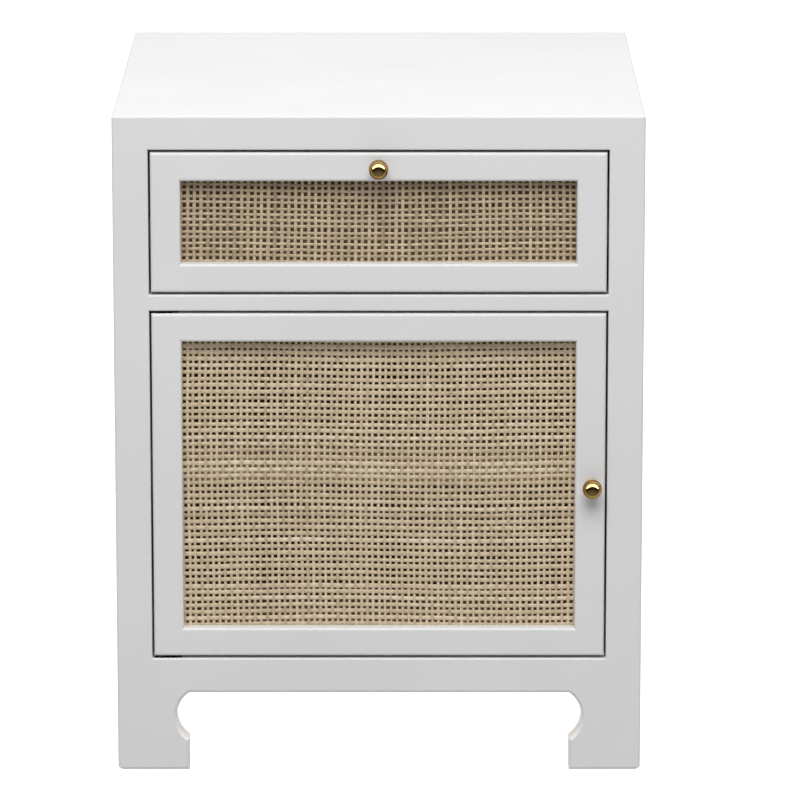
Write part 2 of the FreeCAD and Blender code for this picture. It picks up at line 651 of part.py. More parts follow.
def hinge_leaf(face, away, clearance=0.0):
    """Round-ended leaf let in flush behind a face; with a clearance it is the recess that takes it."""
    radius = LEAF_WIDTH / 2
    end = LEAF_LENGTH - FRONT_HALF - radius
    middle = FRONT + LEAF_MARGIN + radius
    thickness = LEAF_THICKNESS + clearance
    y = (middle - radius - clearance, middle + radius + clearance)
    plate = block((-FRONT_HALF, end), y, (face, face + away * thickness))
    tip = Part.makeCylinder(radius + clearance, thickness, Vector(end, middle, face), Vector(0, 0, away))
    return plate.fuse(tip).removeSplitter()


def hinge_rod(radius, start, length, up):
    return Part.makeCylinder(radius, length, Vector(HINGE_X, HINGE_Y, start), Vector(0, 0, up))


def frame_leaf(frame_face, up):
    """Leaf in the face frame with the hinge pin standing on it."""
    pin = hinge_rod(HINGE_PIN_RADIUS, frame_face, LEVEL_REVEAL + LEAF_THICKNESS, -up)
    return hinge_leaf(frame_face, up).fuse(pin).removeSplitter()


def door_leaf(door_face, up):
    """Leaf in the door's edge with the hole that turns on the pin."""
    hole = hinge_rod(HINGE_PIN_RADIUS + HINGE_PIN_CLEARANCE, door_face, LEAF_THICKNESS, -up)
    return hinge_leaf(door_face, -up).cut(hole)


def hinge_washer(frame_face, up):
    """Washer round the pin, in the gap between the leaves."""
    thickness = LEVEL_REVEAL - WASHER_PLAY
    ring = hinge_rod(WASHER_RADIUS, frame_face, thickness, -up)
    return ring.cut(hinge_rod(HINGE_PIN_RADIUS + HINGE_PIN_CLEARANCE, frame_face, thickness, -up))


def leaf_screw_places(face, drive):
    y = FRONT + LEAF_MARGIN + LEAF_WIDTH / 2
    return [(Vector(inset - FRONT_HALF, y, face), Vector(0, 0, drive)) for inset in LEAF_SCREWS]


# Magnetic catch

CATCH_X = FRONT_HALF - CATCH_FROM_EDGE
STRIKE_BACK = FRAME_BACK + STRIKE_THICKNESS
CATCH_FRONT = STRIKE_BACK + CATCH_GAP
CATCH_BOTTOM = DIVIDER_SPAN[0] - CATCH_HEIGHT


def catch_magnet():
    """Magnet between its poles, flush with the catch's front."""
    x = (CATCH_X - MAGNET_LENGTH / 2, CATCH_X + MAGNET_LENGTH / 2)
    low = CATCH_BOTTOM + JOINT_CLEARANCE
    return block(x, (CATCH_FRONT, CATCH_FRONT + MAGNET_DEPTH), (low, low + MAGNET_HEIGHT))


def catch_body():
    """Housing under the divider with an open-fronted pocket for the magnet."""
    x = (CATCH_X - CATCH_LENGTH / 2, CATCH_X + CATCH_LENGTH / 2)
    body = block(x, (CATCH_FRONT, CATCH_FRONT + CATCH_DEPTH), (CATCH_BOTTOM, DIVIDER_SPAN[0]))
    return body.cut(catch_magnet())


def catch_screw_places():
    y = CATCH_FRONT + CATCH_DEPTH / 2
    spots = [CATCH_X + side * CATCH_SCREW_SPREAD / 2 for side in SIDES.values()]
    return [(Vector(x, y, CATCH_BOTTOM), Vector(0, 0, 1)) for x in spots]


STRIKE_TOP = DOOR_SPAN[1] - STRIKE_DROP


def strike_plate():
    """Plate on the back of the door that the magnet holds."""
    x = (CATCH_X - STRIKE_LENGTH / 2, CATCH_X + STRIKE_LENGTH / 2)
    return block(x, (FRAME_BACK, STRIKE_BACK), (STRIKE_TOP - STRIKE_HEIGHT, STRIKE_TOP))


def strike_screw_places():
    spread = STRIKE_LENGTH / 2 - STRIKE_SCREW_EDGE
    z = STRIKE_TOP - STRIKE_HEIGHT / 2
    return [(Vector(CATCH_X + side * spread, STRIKE_BACK, z), Vector(0, -1, 0)) for side in SIDES.values()]


# Pieces by node name

CASE = footed_case()
pieces = {}

dowel_holes = dowels(JOINT_CLEARANCE)
back_screws, back_holes = screws_and_holes(small_screw, back_screw_places(), BACK_SCREW_LENGTH)
pin_holes = shelf_pins(JOINT_CLEARANCE)
back_space = back_panel()
housings = [housed_board(BOTTOM_SPAN), housed_board(DIVIDER_SPAN)]

# Top, sides, back and boards
top = CASE.common(block((-HALF_WIDTH, HALF_WIDTH), (FRONT, BACK), (TOP_UNDERSIDE, HEIGHT)))
pieces["top_panel"] = top.cut(dowel_holes)
for name, side in SIDES.items():
    side_x = (side * SIDE_INNER, side * HALF_WIDTH)
    panel = block(side_x, (FRAME_BACK, BACK), (FOOT_HEIGHT, TOP_UNDERSIDE))
    cuts = housings + [back_space] + dowel_holes + back_holes + pin_holes[side]
    pieces[name + "_side_panel"] = CASE.common(panel).cut(cuts)
    bracket_x = (side * (HALF_WIDTH - FOOT_WIDTH), side * OPENING_HALF)
    low = (0, FOOT_HEIGHT)
    feet = {"front_foot": block(side_x, (FRAME_BACK, FRONT + FOOT_WIDTH), low),
            "rear_foot": block(side_x, (BACK - FOOT_WIDTH, BACK), low),
            "foot_bracket": block(bracket_x, (FRONT, FRAME_BACK), low)}
    for foot, space in feet.items():
        pieces[name + "_" + foot] = CASE.common(space).cut(dowel_holes)
pieces["back_panel"] = back_space.cut(back_holes)
pieces["back_panel_screws"] = back_screws
pieces["rear_rail"] = block((-SIDE_INNER, SIDE_INNER), (BACK_FACE - REAR_RAIL_THICKNESS, BACK_FACE),
                            (FOOT_HEIGHT, BOTTOM_SPAN[0]))
pieces["bottom_panel"] = housings[0]
catch_screws, catch_holes = screws_and_holes(large_screw, catch_screw_places(), CATCH_SCREW_LENGTH)
pieces["divider_panel"] = housings[1].cut(catch_holes)
shelf_half = SIDE_INNER - SHELF_END_CLEARANCE
pieces["shelf"] = block((-shelf_half, shelf_half), (FRAME_BACK + SHELF_SETBACK, BACK_FACE),
                        (SHELF_BOTTOM, SHELF_TOP))
pieces["shelf_pins"] = [pin for pins in shelf_pins().values() for pin in pins]
pieces["dowels"] = dowels()

# Face frame, with the hinge leaves let into its rails
frame = face_frame()
frame_screws = {end: screws_and_holes(small_screw, leaf_screw_places(face, up), LEAF_SCREW_LENGTH)
                for end, (face, _, up) in HINGE_ENDS.items()}
frame_recess = {end: hinge_leaf(face, up, JOINT_CLEARANCE) for end, (face, _, up) in HINGE_ENDS.items()}
pieces["top_rail"] = face_rail(frame, RAIL_SPANS["top_rail"])
for end, rail in (("upper", "mid_rail"), ("lower", "bottom_rail")):
    body = face_rail(frame, RAIL_SPANS[rail])
    pieces[rail] = body.cut([frame_recess[end]] + frame_screws[end][1] + dowel_holes)
for name, side in SIDES.items():
    pieces[name + "_stile"] = face_stile(frame, side)
pieces["hinge_frame_leaves"] = [frame_leaf(face, up).cut(frame_screws[end][1])
                                for end, (face, _, up) in HINGE_ENDS.items()]
pieces["hinge_washers"] = [hinge_washer(face, up) for face, _, up in HINGE_ENDS.values()]

# Catch, and the case's side of the slides
pieces["catch_body"] = catch_body().cut(catch_holes)
pieces["catch_magnet"] = catch_magnet()
case_fasteners = catch_screws + [screw for end in HINGE_ENDS for screw in frame_screws[end][0]]
for name, side in SIDES.items():
    places = slide_screw_places(side, SLIDE_SHEET, -1)
    screws, holes = screws_and_holes(small_screw, places, SLIDE_SCREW_LENGTH)
    pieces[name + "_slide_outer"] = slide_outer(side).cut(holes)
    pieces[name + "_slide_batten"] = slide_batten(side).cut(holes)
    pieces[name + "_side_panel"] = pieces[name + "_side_panel"].cut(holes)
    pieces[name + "_ball_cage"] = ball_cage(side)
    case_fasteners += screws
pieces["case_fasteners"] = case_fasteners

# Drawer
fixing_screws, fixing_holes = screws_and_holes(small_screw, fixing_screw_places(), FIXING_SCREW_LENGTH)
drawer_knob_seat = BOX_ENDS["front"][1]
drawer_knob_hole = knob_shank(DRAWER_KNOB, drawer_knob_seat, SCREW_CLEARANCE)
for name, body in front_frame(DRAWER_SPAN).items():
    pieces["drawer_" + name] = body.cut(fixing_holes + [drawer_knob_hole]) if "rail" in name else body
pieces["drawer_cane"] = cane_web(DRAWER_SPAN, (WIDE_PITCH, WIDE_STRAND), (CLOSE_PITCH, CLOSE_STRAND))
pieces["drawer_cane_beads"] = cane_beads(DRAWER_SPAN)
pieces["drawer_knob"] = knob(DRAWER_KNOB)
pieces["drawer_box_front"] = box_end("front").cut(fixing_holes + [drawer_knob_hole])
pieces["drawer_box_back"] = box_end("back")
pieces["drawer_bottom"] = box_bottom()
drawer_fasteners = fixing_screws + [knob_screw(DRAWER_KNOB, drawer_knob_seat)]
for name, side in SIDES.items():
    places = slide_screw_places(side, SLIDE_THICKNESS - SLIDE_SHEET, 1)
    screws, holes = screws_and_holes(small_screw, places, SLIDE_SCREW_LENGTH)
    pieces[name + "_slide_inner"] = slide_inner(side).cut(holes)
    pieces["drawer_" + name + "_side"] = box_side(side).cut(holes)
    drawer_fasteners += screws
pieces["drawer_fasteners"] = drawer_fasteners

# Door, with the hinge leaves let into the left stile
strike_screws, strike_holes = screws_and_holes(small_screw, strike_screw_places(), STRIKE_SCREW_LENGTH)
door_screws = {end: screws_and_holes(small_screw, leaf_screw_places(face, -up), LEAF_SCREW_LENGTH)
               for end, (_, face, up) in HINGE_ENDS.items()}
door_recess = [hinge_leaf(face, -up, JOINT_CLEARANCE) for _, face, up in HINGE_ENDS.values()]
hinge_cuts = door_recess + [hole for end in HINGE_ENDS for hole in door_screws[end][1]]
door_cuts = {"left_stile": hinge_cuts, "top_rail": hinge_cuts + strike_holes, "bottom_rail": hinge_cuts,
             "right_stile": strike_holes + [knob_shank(DOOR_KNOB, FRAME_BACK, SCREW_CLEARANCE)]}
for name, body in front_frame(DOOR_SPAN).items():
    pieces["door_" + name] = body.cut(door_cuts[name])
pieces["door_cane"] = cane_web(DOOR_SPAN, (CLOSE_PITCH, CLOSE_STRAND), (WIDE_PITCH, WIDE_STRAND))
pieces["door_cane_beads"] = cane_beads(DOOR_SPAN)
pieces["door_knob"] = knob(DOOR_KNOB)
pieces["hinge_door_leaves"] = [door_leaf(face, up).cut(door_screws[end][1])
                               for end, (_, face, up) in HINGE_ENDS.items()]
pieces["strike_plate"] = strike_plate().cut(strike_holes)
door_leaf_screws = [screw for end in HINGE_ENDS for screw in door_screws[end][0]]
pieces["door_fasteners"] = door_leaf_screws + strike_screws + [knob_screw(DOOR_KNOB, FRAME_BACK)]

# One file per node
os.makedirs("parts", exist_ok=True)
for name, shape in pieces.items():
    solid = Part.makeCompound(shape) if isinstance(shape, list) else shape
    solid.exportStep("parts/" + name + ".step")
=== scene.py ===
"""White lacquered side table: finishes, woven cane and turned knobs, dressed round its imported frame.

Lengths are in metres. X runs to the right, Y to the back and Z up, and the front faces -Y.
"""
import math
from collections import namedtuple

import bpy
import numpy as np
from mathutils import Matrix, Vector


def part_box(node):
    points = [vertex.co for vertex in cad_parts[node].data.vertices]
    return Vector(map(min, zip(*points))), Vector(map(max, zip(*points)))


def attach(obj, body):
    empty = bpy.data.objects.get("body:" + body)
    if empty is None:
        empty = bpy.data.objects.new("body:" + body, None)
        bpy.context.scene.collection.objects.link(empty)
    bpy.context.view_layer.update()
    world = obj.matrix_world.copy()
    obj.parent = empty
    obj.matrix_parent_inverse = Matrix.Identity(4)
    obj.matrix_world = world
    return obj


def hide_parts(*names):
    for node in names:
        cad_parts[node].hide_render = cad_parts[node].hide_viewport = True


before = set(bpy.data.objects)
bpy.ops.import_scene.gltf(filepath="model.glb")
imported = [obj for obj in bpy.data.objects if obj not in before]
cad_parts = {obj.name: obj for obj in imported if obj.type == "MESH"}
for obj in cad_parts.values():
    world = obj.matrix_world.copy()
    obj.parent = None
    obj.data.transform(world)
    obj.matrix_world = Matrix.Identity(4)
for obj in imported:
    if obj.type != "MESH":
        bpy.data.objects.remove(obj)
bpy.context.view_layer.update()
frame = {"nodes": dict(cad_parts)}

MM = 0.001
FULL_TURN = 2 * math.pi

# Cane: flat strands woven one over and one under, the drawer's web turned a quarter against the door's
StrandSet = namedtuple("StrandSet", "pitch width tint")
# The set tints carry painted shade: the door's uprights are darker than its levels, as if less lit from
# above, and the drawer's web is darker than the door's, as if in deeper shade
DOOR_UPRIGHTS = StrandSet(pitch=5.2 * MM, width=2.5 * MM, tint=0.61)
DOOR_LEVELS = StrandSet(pitch=5.8 * MM, width=3.6 * MM, tint=0.66)
DOOR_SEED = 21
DRAWER_UPRIGHTS = StrandSet(pitch=5.8 * MM, width=2.85 * MM, tint=0.42)
DRAWER_LEVELS = StrandSet(pitch=5.2 * MM, width=2.5 * MM, tint=0.46)
DRAWER_SEED = 12
WEB_SELVAGE = 3.5 * MM
STRAND_THICKNESS = 0.65 * MM
STEPS_PER_CROSSING = 3
SECTION_POINTS = 8
SECTION_FLATNESS = 0.75

# Unevenness of each strand, with rates that count waves against those of its wander
LANE_JITTER = 0.15 * MM
WANDER = 0.14 * MM
WANDER_LENGTH = 90 * MM
RIPPLE_SHARE = 0.5
RIPPLE_RATE = 2.3
WIDTH_SPREAD = 0.07
WIDTH_DRIFT = 0.035
WIDTH_RATE = 1.7
TINT_SPREAD = 0.085
TINT_DRIFT = 0.06
TINT_RATE = 0.8

# Bow of a whole web, held at its edges
BOW = 0.8 * MM
BOW_LENGTH = 300 * MM
BOW_SLANT = 0.4
BOW_MARGIN = 8 * MM

# Knobs: foot, neck and ball turned in one piece
KNOB_BALL_RADIUS = 8.5 * MM
KNOB_NECK_RADIUS = 4.5 * MM
KNOB_FOOT_RADIUS = 6.5 * MM
KNOB_FOOT_HEIGHT = 1.5 * MM
KNOB_FOOT_EASING = 0.5 * MM
KNOB_TURNS = 96
EASING_POINTS = 7
HOLLOW_POINTS = 9
BALL_POINTS = 40

# Coats reach this far past a face, and end grain keeps this share of the wood's own colour; the last share
# darkens the drawer box's face behind the cane as painted shade
COAT_MARGIN = 0.5 * MM
COAT_GLOSS = 0.3
END_GRAIN = 0.68
PAINTED_SHADE_SHARE = 0.3

# Stretch of a noise, from 0 to 1, over which a colour turns from its dark tone to its pale one
NOISE_LOW = 0.3
NOISE_HIGH = 0.7

# Room as a fill: tones by height, 0 straight down and 1 straight up, with more light from behind the table
STRAIGHT_DOWN = -1.0
STRAIGHT_UP = 1.0
ROOM_FILL = ((0.0, 0.80), (0.25, 0.50), (0.46, 0.25), (0.5, 0.10), (0.66, 0.14), (0.78, 0.46), (1.0, 0.58))
BACK_FILL = 0.60
BACK_FADE = 0.5

# Room in front as polished pieces show it: a bright arch, where the walls to the sides count as higher up
ROOM_IN_POLISH = ((0.0, 0.30), (0.43, 0.15), (0.6, 0.05), (0.80, 0.02),
                  (0.82, 6.5), (0.92, 6.5), (0.955, 0.35))
POLISH_TOP = 1.1
POLISH_FROM = -0.15
WALL_LIFT = 0.42
WALL_BEND = 0.2
HALF_A_BOUNCE = 0.5

# Stage: backdrop and floor, and one soft box above and in front
BACKDROP = (1.0, 1.0, 1.0)
FLOOR_REACH = 30.0
FLOOR_TONE = (0.6, 0.6, 0.6)
FLOOR_ROUGHNESS = 0.9
FLOOR_GLOW_TONE = (1.0, 1.0, 1.0)
FLOOR_GLOW = 0.92
SOFT_BOX_PLACE = (0.0, -3.0, 3.75)
SOFT_BOX_TARGET = (0.0, -0.1, 0.3)
SOFT_BOX_SIZE = (3.2, 2.4)
SOFT_BOX_POWER = 152.0

# Camera, from the photograph's lines
CAMERA_DISTANCE = 5.0
CAMERA_ELEVATION = math.radians(12.706)
CAMERA_TARGET = (0.0184, -0.2195, 0.3346)
CAMERA_LENS = 258.9


# Node helpers

MIX_SOCKETS = {"FLOAT": (2, 3, 0), "VECTOR": (4, 5, 1), "RGBA": (6, 7, 2)}


def add(tree, kind, inputs=None, **settings):
    """New node with settings, its inputs set to values or linked from other nodes' sockets."""
    made = tree.nodes.new(kind)
    for name, value in settings.items():
        setattr(made, name, value)
    feed(tree, made, inputs or {})
    return made


def feed(tree, made, inputs):
    """Sets a node's inputs to values, or links them from other nodes' sockets."""
    for name, value in inputs.items():
        if isinstance(value, bpy.types.NodeSocket):
            tree.links.new(value, made.inputs[name])
        else:
            made.inputs[name].default_value = value


def grey(tone):
    """Colour of equal parts."""
    return (tone, tone, tone)


def scaled(tree, place, scale):
    """Place stretched by a scale on each axis."""
    return add(tree, "ShaderNodeMapping", {"Vector": place, "Scale": scale}).outputs["Vector"]


def object_place(tree, scale=(1.0, 1.0, 1.0)):
    """Object coordinates in metres, stretched by a scale on each axis."""
    return scaled(tree, add(tree, "ShaderNodeTexCoord").outputs["Object"], scale)


def object_axes(tree):
    """X, Y and Z of the object coordinates, each on its own."""
    return add(tree, "ShaderNodeSeparateXYZ", {"Vector": object_place(tree)}).outputs


def noise(tree, place, scale=1.0, detail=3.0, roughness=0.5, distortion=0.0):
    """Cloudy noise from 0 to 1."""
    inputs = {"Vector": place, "Scale": scale, "Detail": detail,
              "Roughness": roughness, "Distortion": distortion}
    return add(tree, "ShaderNodeTexNoise", inputs).outputs["Fac"]


def spread(tree, value, low, high):
    """Value from 0 to 1 carried to a range."""
    return add(tree, "ShaderNodeMapRange", {"Value": value, "To Min": low, "To Max": high}).outputs["Result"]


def ramp(tree, value, stops):
    """Colour ramp through (place, colour) stops."""
    made = add(tree, "ShaderNodeValToRGB", {"Fac": value})
    elements = made.color_ramp.elements
    while len(elements) < len(stops):
        elements.new(0.5)
    for element, (place, colour) in zip(elements, stops):
        element.position = place
        element.color = (*colour, 1.0)
    return made.outputs["Color"]


def two_tones(tree, value, dark, pale):
    """Colour that follows a noise from a dark tone to a pale one."""
    return ramp(tree, value, [(NOISE_LOW, dark), (NOISE_HIGH, pale)])


def bump(tree, height, distance):
    """Normal of a surface whose height stands out by a distance."""
    return add(tree, "ShaderNodeBump", {"Height": height, "Distance": distance}).outputs["Normal"]


def reckon(tree, operation, first, second=0.0):
    """Sum, product, size or comparison of sockets or numbers."""
    made = add(tree, "ShaderNodeMath", operation=operation)
    feed(tree, made, {0: first, 1: second})
    return made.outputs["Value"]


def either(tree, kind, choice, first, second):
    """First value where the choice is 0 and the second where it is 1."""
    low, high, result = MIX_SOCKETS[kind]
    return add(tree, "ShaderNodeMix", {0: choice, low: first, high: second}, data_type=kind).outputs[result]


# Finishes, each a function that gives a shader's inputs

def new_finish(name, dress, *choices):
    """New material with the shader inputs that a finish's function gives."""
    material = bpy.data.materials.new(name)
    material.use_nodes = True
    tree = material.node_tree
    feed(tree, tree.nodes["Principled BSDF"], dress(tree, *choices))
    return material


def lacquer_coat(tree):
    """Sprayed satin lacquer: faint clouding, uneven sheen and fine orange peel."""
    place = object_place(tree)
    clouds = noise(tree, place, scale=9.0, detail=4.0)
    peel = noise(tree, place, scale=620.0, detail=2.0)
    waves = noise(tree, place, scale=90.0, detail=2.0)
    return {
        "Base Color": two_tones(tree, clouds, grey(0.785), grey(0.815)),
        "Roughness": spread(tree, waves, 0.33, 0.43),
        "Specular IOR Level": COAT_GLOSS,
        "Normal": bump(tree, reckon(tree, "ADD", peel, waves), 0.01 * MM),
    }


def primer_coat(tree):
    """Matt primer on the back of a case: chalky, a little grey and finely stippled."""
    place = object_place(tree)
    clouds = noise(tree, place, scale=6.0, detail=4.0)
    stipple = noise(tree, place, scale=450.0)
    return {
        "Base Color": two_tones(tree, clouds, (0.675, 0.668, 0.65), (0.715, 0.708, 0.69)),
        "Roughness": spread(tree, stipple, 0.58, 0.72),
        "Specular IOR Level": COAT_GLOSS,
        "Normal": bump(tree, stipple, 0.03 * MM),
    }


def grain_place(tree, along, lengthwise, crosswise):
    """Object coordinates stretched by one scale along the grain and by another across it."""
    scale = [crosswise, crosswise, crosswise]
    scale["xyz".index(along)] = lengthwise
    return object_place(tree, scale)


def oiled_wood(tree, along):
    """Oiled wood with its grain along one axis: broad figure, fine pores and a dry sheen."""
    figure_place = grain_place(tree, along, lengthwise=1.6, crosswise=26.0)
    pore_place = grain_place(tree, along, lengthwise=30.0, crosswise=900.0)
    figure = noise(tree, figure_place, detail=5.0, roughness=0.55, distortion=0.8)
    pores = noise(tree, pore_place, detail=2.0)
    grain = reckon(tree, "ADD", spread(tree, figure, 0.0, 0.8), spread(tree, pores, -0.05, 0.25))
    tones = [(0.2, (0.64, 0.46, 0.26)), (0.5, (0.77, 0.59, 0.36)), (0.8, (0.86, 0.71, 0.49))]
    return {
        "Base Color": ramp(tree, grain, tones),
        "Roughness": spread(tree, pores, 0.48, 0.66),
        "Normal": bump(tree, pores, 0.04 * MM),
    }


def drawer_end(tree):
    """Wood of the drawer box's ends, darker on the pins' end grain, with painted shade darkening its face
    behind the cane.
    """
    place = object_axes(tree)
    across = reckon(tree, "ABSOLUTE", place["X"])
    on_pins = reckon(tree, "GREATER_THAN", across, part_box("drawer_right_side")[0].x + COAT_MARGIN)
    on_face = reckon(tree, "LESS_THAN", place["Y"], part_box("drawer_box_front")[0].y + COAT_MARGIN)
    end_grain_share = either(tree, "FLOAT", on_pins, 1.0, END_GRAIN)
    # Painted shade: the face behind the cane is darkened to stand for the shade inside the drawer
    shade = either(tree, "FLOAT", on_face, end_grain_share, PAINTED_SHADE_SHARE)
    wood = oiled_wood(tree, "x")
    shaded = add(tree, "ShaderNodeVectorMath", {0: wood["Base Color"], "Scale": shade}, operation="SCALE")
    return {**wood, "Base Color": shaded.outputs["Vector"]}


def coated_board(tree, coat, along):
    """Wooden board with a coat on the outside of the case only, told apart by place."""
    place = object_axes(tree)
    across = reckon(tree, "ABSOLUTE", place["X"])
    between_sides = reckon(tree, "LESS_THAN", across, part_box("right_side_panel")[0].x + COAT_MARGIN)
    before_back = reckon(tree, "LESS_THAN", place["Y"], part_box("back_panel")[0].y + COAT_MARGIN)
    inside = reckon(tree, "MULTIPLY", between_sides, before_back)
    outer = coat(tree)
    inner = oiled_wood(tree, along)
    kinds = {"Base Color": "RGBA", "Roughness": "FLOAT", "Normal": "VECTOR"}
    mixed = {name: either(tree, kind, inside, outer[name], inner[name]) for name, kind in kinds.items()}
    return {**outer, **mixed}


def cane(tree):
    """Rattan skin: each strand its own tint, which carries painted shade, drifting along its length, with
    fine fibres and a dull gloss.
    """
    tint = add(tree, "ShaderNodeAttribute", attribute_name="tint").outputs["Fac"]
    strand = add(tree, "ShaderNodeUVMap", uv_map="strand").outputs["UV"]
    fibres = noise(tree, scaled(tree, strand, (60.0, 22.0, 1.0)))
    blotches = noise(tree, scaled(tree, strand, (150.0, 2.0, 1.0)), detail=2.0)
    mottle = reckon(tree, "ADD", spread(tree, fibres, -0.16, 0.16), spread(tree, blotches, -0.2, 0.2))
    tones = [(0.0, (0.27, 0.195, 0.12)), (0.35, (0.47, 0.365, 0.245)),
             (0.65, (0.665, 0.53, 0.36)), (1.0, (0.86, 0.745, 0.57))]
    return {
        "Base Color": ramp(tree, reckon(tree, "ADD", tint, mottle), tones),
        "Roughness": spread(tree, fibres, 0.40, 0.58),
        "Normal": bump(tree, fibres, 0.05 * MM),
    }


def polished_brass(tree):
    """Lacquered brass: warm tarnish in soft patches and fine turning marks."""
    patches = noise(tree, object_place(tree), scale=160.0)
    marks = noise(tree, object_place(tree, (1.0, 12.0, 1.0)), scale=700.0, detail=2.0)
    return {
        "Base Color": two_tones(tree, patches, (0.44, 0.28, 0.105), (0.52, 0.335, 0.135)),
        "Metallic": 1.0,
        "Specular Tint": (0.62, 0.56, 0.46, 1.0),
        "Roughness": spread(tree, reckon(tree, "MULTIPLY", patches, marks), 0.03, 0.10),
        "Normal": bump(tree, marks, 0.002 * MM),
    }


def zinc_steel(tree):
    """Zinc plated steel: spangled tone and rolling marks along the slides."""
    spangle = noise(tree, object_place(tree), scale=240.0)
    rolling = noise(tree, object_place(tree, (900.0, 25.0, 900.0)), detail=2.0)
    return {
        "Base Color": two_tones(tree, spangle, (0.52, 0.53, 0.54), (0.66, 0.67, 0.68)),
        "Metallic": 1.0,
        "Roughness": spread(tree, rolling, 0.24, 0.42),
        "Normal": bump(tree, rolling, 0.004 * MM),
    }


def blackened_steel(tree):
    """Blackened steel: near black, worn a little paler in streaks."""
    wear = noise(tree, object_place(tree, (300.0, 300.0, 900.0)))
    return {
        "Base Color": two_tones(tree, wear, (0.035, 0.033, 0.031), (0.085, 0.08, 0.075)),
        "Metallic": 1.0,
        "Roughness": spread(tree, wear, 0.38, 0.55),
        "Normal": bump(tree, wear, 0.004 * MM),
    }


def moulded_plastic(tree):
    """Ivory moulded plastic with a fine spark grain."""
    place = object_place(tree)
    spark = noise(tree, place, scale=1800.0, detail=2.0)
    cloud = noise(tree, place, scale=60.0, detail=2.0)
    return {
        "Base Color": two_tones(tree, cloud, (0.70, 0.69, 0.65), (0.76, 0.75, 0.71)),
        "Roughness": spread(tree, spark, 0.42, 0.6),
        "Normal": bump(tree, spark, 0.02 * MM),
    }


def dark_magnet(tree):
    """Sintered magnet: near black, gritty."""
    grit = noise(tree, object_place(tree), scale=1400.0)
    return {
        "Base Color": two_tones(tree, grit, (0.025, 0.025, 0.028), (0.06, 0.06, 0.065)),
        "Roughness": spread(tree, grit, 0.45, 0.7),
        "Normal": bump(tree, grit, 0.03 * MM),
    }


def white_floor(tree):
    """Studio floor: a matt white that glows evenly."""
    return {
        "Base Color": (*FLOOR_TONE, 1.0),
        "Roughness": FLOOR_ROUGHNESS,
        "Emission Color": (*FLOOR_GLOW_TONE, 1.0),
        "Emission Strength": FLOOR_GLOW,
    }


# Meshes

def new_object(name, data):
    """New object at the origin, linked into the scene."""
    made = bpy.data.objects.new(name, data)
    bpy.context.scene.collection.objects.link(made)
    return made


def piece(name, points, loops, sizes, material, body, slot, *replaced):
    """Smooth mesh at the origin from an array of points and faces given as corner loops of known sizes."""
    mesh = bpy.data.meshes.new(name)
    mesh.vertices.add(len(points))
    mesh.vertices.foreach_set("co", points.astype(np.float32).ravel())
    mesh.loops.add(len(loops))
    mesh.loops.foreach_set("vertex_index", loops.astype(np.int32))
    mesh.polygons.add(len(sizes))
    mesh.polygons.foreach_set("loop_start", (np.cumsum(sizes) - sizes).astype(np.int32))
    mesh.update(calc_edges=True)
    mesh.validate()
    mesh.shade_smooth()
    mesh.materials.append(material)
    made = new_object(name, mesh)
    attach(made, body)
    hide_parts(*replaced)
    return made


def ring_quads(rings, around):
    """Quads between closed rings whose points run ring by ring."""
    ring, corner = np.meshgrid(np.arange(rings - 1), np.arange(around), indexing="ij")
    after = (corner + 1) % around
    here = ring * around
    beyond = here + around
    return np.stack([here + corner, here + after, beyond + after, beyond + corner], axis=-1).reshape(-1, 4)


def tube_faces(tubes, rings, around):
    """Faces of closed tubes whose points run tube by tube, ring by ring: quads along, one cap at each end."""
    quads = ring_quads(rings, around)
    first = np.arange(around)[::-1]
    last = np.arange(around) + (rings - 1) * around
    caps = np.stack([first, last])
    starts = np.arange(tubes)[:, None, None] * rings * around
    loops = np.concatenate([(quads + starts).ravel(), (caps + starts).ravel()])
    sizes = np.concatenate([np.full(tubes * len(quads), 4), np.full(tubes * len(caps), around)])
    return loops, sizes


# Woven cane

def lanes_between(start, end, pitch):
    """Middle lines of the strands on both sides of every gap, at a pitch and centred between two limits."""
    gaps = int((end - start) / pitch)
    return (start + end) / 2 + pitch * (np.arange(gaps + 1) - gaps / 2)


def oval_section():
    """Flattened oval as angles, with the cosine and sine of each raised to a power, its sign kept."""
    angle = FULL_TURN * np.arange(SECTION_POINTS) / SECTION_POINTS
    wide = np.sign(np.cos(angle)) * np.abs(np.cos(angle)) ** SECTION_FLATNESS
    thick = np.sign(np.sin(angle)) * np.abs(np.sin(angle)) ** SECTION_FLATNESS
    return angle, wide, thick


